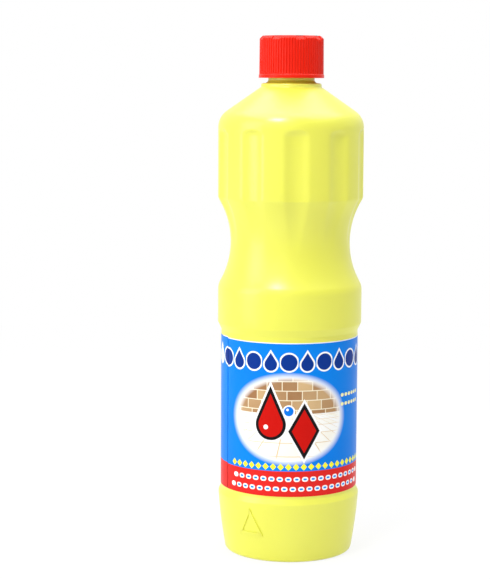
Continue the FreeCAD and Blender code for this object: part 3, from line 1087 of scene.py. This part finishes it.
@dataclass
class Cap:
    """Ribbed outer shell of the closure."""

    shell_wall: float = 0.00125
    rib_count: int = 72
    rib_height: float = 0.00045
    rib_draft: float = 0.00015
    rib_steepness: float = 1.5
    flare_reach: float = 0.0009
    flare_height: float = 0.0017
    flare_round: float = 0.0005
    bevel_width: float = 0.0016
    bevel_height: float = 0.0016
    window_count: int = 8
    window_first_azimuth: float = 16.0
    window_angle: float = 16.5
    window_depth: float = 0.00075
    dish_r: float = 0.0134
    dish_depth: float = 0.00035
    plate: float = 0.0013
    bead_reach: float = 0.00075
    bead_gap: float = 0.00015
    bead_height: float = 0.0010
    lug_count: int = 8
    lug_height: float = 0.0017
    lug_width: float = 0.0026
    lug_inner_r: float = 0.0082
    lug_length: float = 0.0050
    lug_sink: float = 0.0002
    lug_softness: float = 0.00015
    softness: float = 0.00018
    columns_per_rib: int = 10
    finish: Plastic = Plastic(
        name="cap_red",
        grain=Grain.MOULDED,
        colour=srgb(236, 36, 6),
        deep=srgb(226, 28, 4),
        roughness=0.30,
        specular=0.2,
    )

    def reach(self, height: float, azimuth: float, drawn: float) -> float:
        """Radius of the outer surface.

        Args:
            height: Height of a vertex.
            azimuth: Its azimuth in degrees.
            drawn: Its radius in the half section, which leaves the ribs out.

        Returns:
            The radius with ribs, bevel and windows.
        """
        share = 0.5 + 0.5 * math.cos(math.radians(azimuth) * self.rib_count)
        crest = min(max((share - 0.5) * self.rib_steepness + 0.5, 0), 1)
        crest = crest * crest * (3 - 2 * crest)
        draft = self.rib_draft * (self.top_z - height) / (self.top_z - self.foot_z)
        ribbed = self.groove_r + self.rib_height * crest + draft
        radius = soft_most(drawn, ribbed, self.softness)
        pitch = 360 / self.window_count
        off_window = abs(math.remainder(azimuth - self.window_first_azimuth, pitch))
        edge = min(max(self.window_angle / 2 - off_window + 0.5, 0), 1)
        slope = self.bevel_width / self.bevel_height
        rib_r = self.groove_r + self.rib_height
        above_bevel = height - self.top_z + self.bevel_height + self.window_depth * edge
        bevel = rib_r - above_bevel * slope
        return soft_least(radius, bevel, self.softness)

    def draw_outside(self) -> Profile:
        """Half section of the outside without its ribs, from the foot to the top's middle."""
        flare_top_z = self.foot_z + self.flare_height
        profile = Profile(self.bore_r, self.foot_z)
        flare_r = self.groove_r + self.flare_reach
        wall_foot = at(self.groove_r, flare_top_z + self.flare_reach)
        flare_top = at(flare_r, flare_top_z)
        foot_round, foot_step, flare_step = 0.0002, 0.0001, 0.00015
        profile.corner(at(flare_r, self.foot_z), flare_top, foot_round, foot_step)
        profile.corner(flare_top, wall_foot, self.flare_round, flare_step)
        profile.line(*wall_foot.xz, pieces=6)
        margin = 0.0003
        bevel_foot_z = self.top_z - self.bevel_height - self.window_depth - margin
        profile.line(self.groove_r, bevel_foot_z, pieces=8)
        profile.line(self.groove_r, self.top_z, pieces=16)
        profile.line(self.dish_r + self.dish_depth, self.top_z, pieces=2)
        profile.line(self.dish_r, self.top_z - self.dish_depth, pieces=2)
        profile.line(0, self.top_z - self.dish_depth, pieces=6)
        return profile

    def draw_inside(self) -> Profile:
        """Half section of the inside, from the middle of the plate down to the foot."""
        profile = Profile(0, self.plate_z)
        wall_top = at(self.bore_r, self.plate_z)
        root_round, root_step = 0.0003, 0.0002
        profile.corner(wall_top, at(self.bore_r, self.foot_z), root_round, root_step)
        bead_r = self.bore_r - self.bead_reach
        bead_top_z = self.inner_foot_z - self.bead_gap
        profile.line(self.bore_r, bead_top_z)
        profile.line(bead_r, bead_top_z)
        profile.line(bead_r, bead_top_z - self.bead_height / 3)
        profile.line(self.bore_r, bead_top_z - self.bead_height)
        profile.line(self.bore_r, self.foot_z)
        return profile

    def build(self) -> None:
        """Makes the shell and puts it on its body."""
        low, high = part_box("cap_shell")
        self.foot_z, self.top_z = low.z, high.z
        self.inner_foot_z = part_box("inner_cap")[0].z
        self.groove_r = high.x - self.flare_reach
        self.bore_r = self.groove_r - self.shell_wall
        self.plate_z = self.top_z - self.plate
        columns = self.rib_count * self.columns_per_rib
        outside = spin_sector(self.draw_outside().points, columns, self.window_count)
        wall_z = self.foot_z + self.flare_height
        for vert in outside.verts:
            radius = vert.co.xy.length
            if vert.co.z > wall_z and radius > self.groove_r - WELD:
                off_middle = math.degrees(math.atan2(vert.co.y, vert.co.x))
                azimuth = self.window_first_azimuth + off_middle
                vert.co.xy *= self.reach(vert.co.z, azimuth, radius) / radius
        inside = spin_sector(self.draw_inside().points, columns, self.window_count)
        skin = bmesh.new()
        for sector in (outside, inside):
            lay_round(skin, sector, self.window_count, self.window_first_azimuth)
        for index in range(self.lug_count):
            corner = Vector((self.lug_inner_r, -self.lug_width / 2, self.plate_z - self.lug_height))
            size = Vector((self.lug_length, self.lug_width, self.lug_height + self.lug_sink))
            azimuth = 360 / self.lug_count * (index + 0.5)
            add_box(skin, corner, corner + size, azimuth, self.lug_softness)
        piece = finished(skin, "cap_outer_shell", self.finish.make(), crease=35)
        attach(piece, "cap_shell")
        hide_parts("cap_shell")
        log.info("cap_outer_shell: %d faces", len(piece.data.polygons))


@dataclass
class Closure:
    """Inner pieces of the closure, whose solids keep their shape and get their finish."""

    inner_finish: Plastic = Plastic(
        name="inner_cap_white",
        grain=Grain.MOULDED,
        colour=srgb(233, 231, 224),
        deep=srgb(226, 224, 216),
        roughness=0.42,
        glow=0.15,
    )
    liner_finish: Plastic = Plastic(
        name="liner_foam",
        grain=Grain.FOAMED,
        colour=srgb(240, 240, 236),
        deep=srgb(230, 230, 225),
        roughness=0.7,
    )

    def build(self, nodes: dict[str, Object]) -> None:
        """Dresses the nodes.

        Args:
            nodes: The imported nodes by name.
        """
        for name, finish in (("inner_cap", self.inner_finish), ("cap_liner", self.liner_finish)):
            mesh = nodes[name].data
            mesh.materials.clear()
            mesh.materials.append(finish.make())
            log.info("%s: dressed", name)


@dataclass(frozen=True)
class Softbox:
    """Large soft lamp that faces the bottle."""

    name: str
    azimuth: float
    elevation: float
    distance: float
    width: float
    height: float
    power: float

    def hang(self, target: Vector) -> None:
        """Places the lamp and aims it.

        Args:
            target: Point that it faces.
        """
        lamp = bpy.data.lights.new(self.name, "AREA")
        lamp.shape = "RECTANGLE"
        lamp.size = self.width
        lamp.size_y = self.height
        lamp.energy = self.power
        level = math.radians(self.elevation)
        way = Vector((math.cos(level), 0, math.sin(level)))
        way.rotate(turn_to(self.azimuth))
        holder = bpy.data.objects.new(self.name, lamp)
        holder.location = target + way * self.distance
        holder.rotation_euler = way.to_track_quat("Z", "Y").to_euler()
        bpy.context.scene.collection.objects.link(holder)


@dataclass
class Studio:
    """Pale floor and background, soft light and the camera."""

    target: Vector = field(default_factory=lambda: Vector((0, 0, 0.16)))
    camera_distance: float = 0.976
    camera_height: float = 0.2639
    tilt_down: float = 6.89
    turn_left: float = 1.46
    roll: float = 0.28
    lens: float = 110.0
    sensor: float = 36.0
    floor_half: float = 40.0
    floor_colour: Colour = (0.86, 0.86, 0.85, 1.0)
    white_share: float = 0.85
    white_from: float = 0.25
    white_at: float = 0.9
    ambient: float = 0.36
    lamps: tuple[Softbox, ...] = (
        Softbox("key", -28, 53, 1.5, 0.30, 0.30, 10.5),
        Softbox("left_strip", -66, 12, 1.3, 0.7, 1.2, 6.0),
        Softbox("front_panel", -24, 22, 1.9, 1.2, 1.0, 2.2),
        Softbox("overhead", -8, 98, 1.3, 2.2, 1.4, 24.0),
    )

    def aim_camera(self) -> None:
        """Puts the camera where the photograph was taken from."""
        data = bpy.data.cameras.new("camera")
        data.lens = self.lens
        data.sensor_width = self.sensor
        camera = bpy.data.objects.new("camera", data)
        camera.location = (0, -self.camera_distance, self.camera_height)
        turn = Matrix.Rotation(math.radians(self.turn_left), 3, "Z")
        tilt = Matrix.Rotation(math.radians(90 - self.tilt_down), 3, "X")
        roll = Matrix.Rotation(math.radians(self.roll), 3, "Z")
        camera.rotation_euler = (turn @ tilt @ roll).to_euler()
        bpy.context.scene.collection.objects.link(camera)
        bpy.context.scene.camera = camera

    def seen_rays(self, tree: NodeTree) -> Term:
        """Value that is 1 for rays that show the background, and 0 for those that light."""
        path = tree.nodes.new("ShaderNodeLightPath")
        names = ("Is Camera Ray", "Is Glossy Ray", "Is Transmission Ray")
        camera, glossy, transmitted = (Term(tree, path.outputs[name]) for name in names)
        return camera.most(glossy).most(transmitted)

    def floor_material(self) -> Material:
        """Pale floor that shows as near white and still takes a shadow."""
        material = bpy.data.materials.new("floor_pale")
        material.use_nodes = True
        tree = material.node_tree
        tree.nodes.remove(tree.nodes["Principled BSDF"])
        paper = tree.nodes.new("ShaderNodeBsdfDiffuse")
        paper.inputs["Color"].default_value = self.floor_colour
        white = tree.nodes.new("ShaderNodeEmission")
        mixed = tree.nodes.new("ShaderNodeMixShader")
        spread = tree.nodes.new("ShaderNodeVectorMath")
        spread.operation = "LENGTH"
        tree.links.new(tree.nodes.new("ShaderNodeTexCoord").outputs["Object"], spread.inputs[0])
        far = tree.nodes.new("ShaderNodeMapRange")
        tree.links.new(spread.outputs["Value"], far.inputs["Value"])
        far.inputs["From Min"].default_value = self.white_from
        far.inputs["From Max"].default_value = self.white_at
        far.inputs["To Min"].default_value = self.white_share
        share = self.seen_rays(tree) * Term(tree, far.outputs["Result"])
        tree.links.new(share.socket, mixed.inputs[0])
        tree.links.new(paper.outputs[0], mixed.inputs[1])
        tree.links.new(white.outputs[0], mixed.inputs[2])
        tree.links.new(mixed.outputs[0], tree.nodes["Material Output"].inputs["Surface"])
        return material

    def light_world(self) -> None:
        """White background that lights the object only softly."""
        world = bpy.data.worlds.new("studio")
        world.use_nodes = True
        tree = world.node_tree
        background = tree.nodes["Background"]
        background.inputs["Color"].default_value = (1, 1, 1, 1)
        strength = self.seen_rays(tree) * (1 - self.ambient) + self.ambient
        tree.links.new(strength.socket, background.inputs["Strength"])
        bpy.context.scene.world = world

    def build(self) -> None:
        """Makes the floor, the lamps, the world and the camera."""
        skin = bmesh.new()
        bmesh.ops.create_grid(skin, x_segments=8, y_segments=8, size=self.floor_half)
        floor = finished(skin, "floor", self.floor_material())
        for lamp in self.lamps:
            lamp.hang(self.target)
        self.light_world()
        self.aim_camera()
        bpy.context.scene.view_settings.view_transform = "Standard"
        log.info("studio: %d lamps", len(self.lamps))


def main() -> None:
    """Loads the frame and builds everything round it."""
    logging.basicConfig(level=logging.INFO, format="%(name)s: %(message)s")
    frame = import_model()
    Studio().build()
    Bottle().build()
    Label().build()
    Cap().build()
    Closure().build(frame["nodes"])


if __name__ == "__main__":
    main()
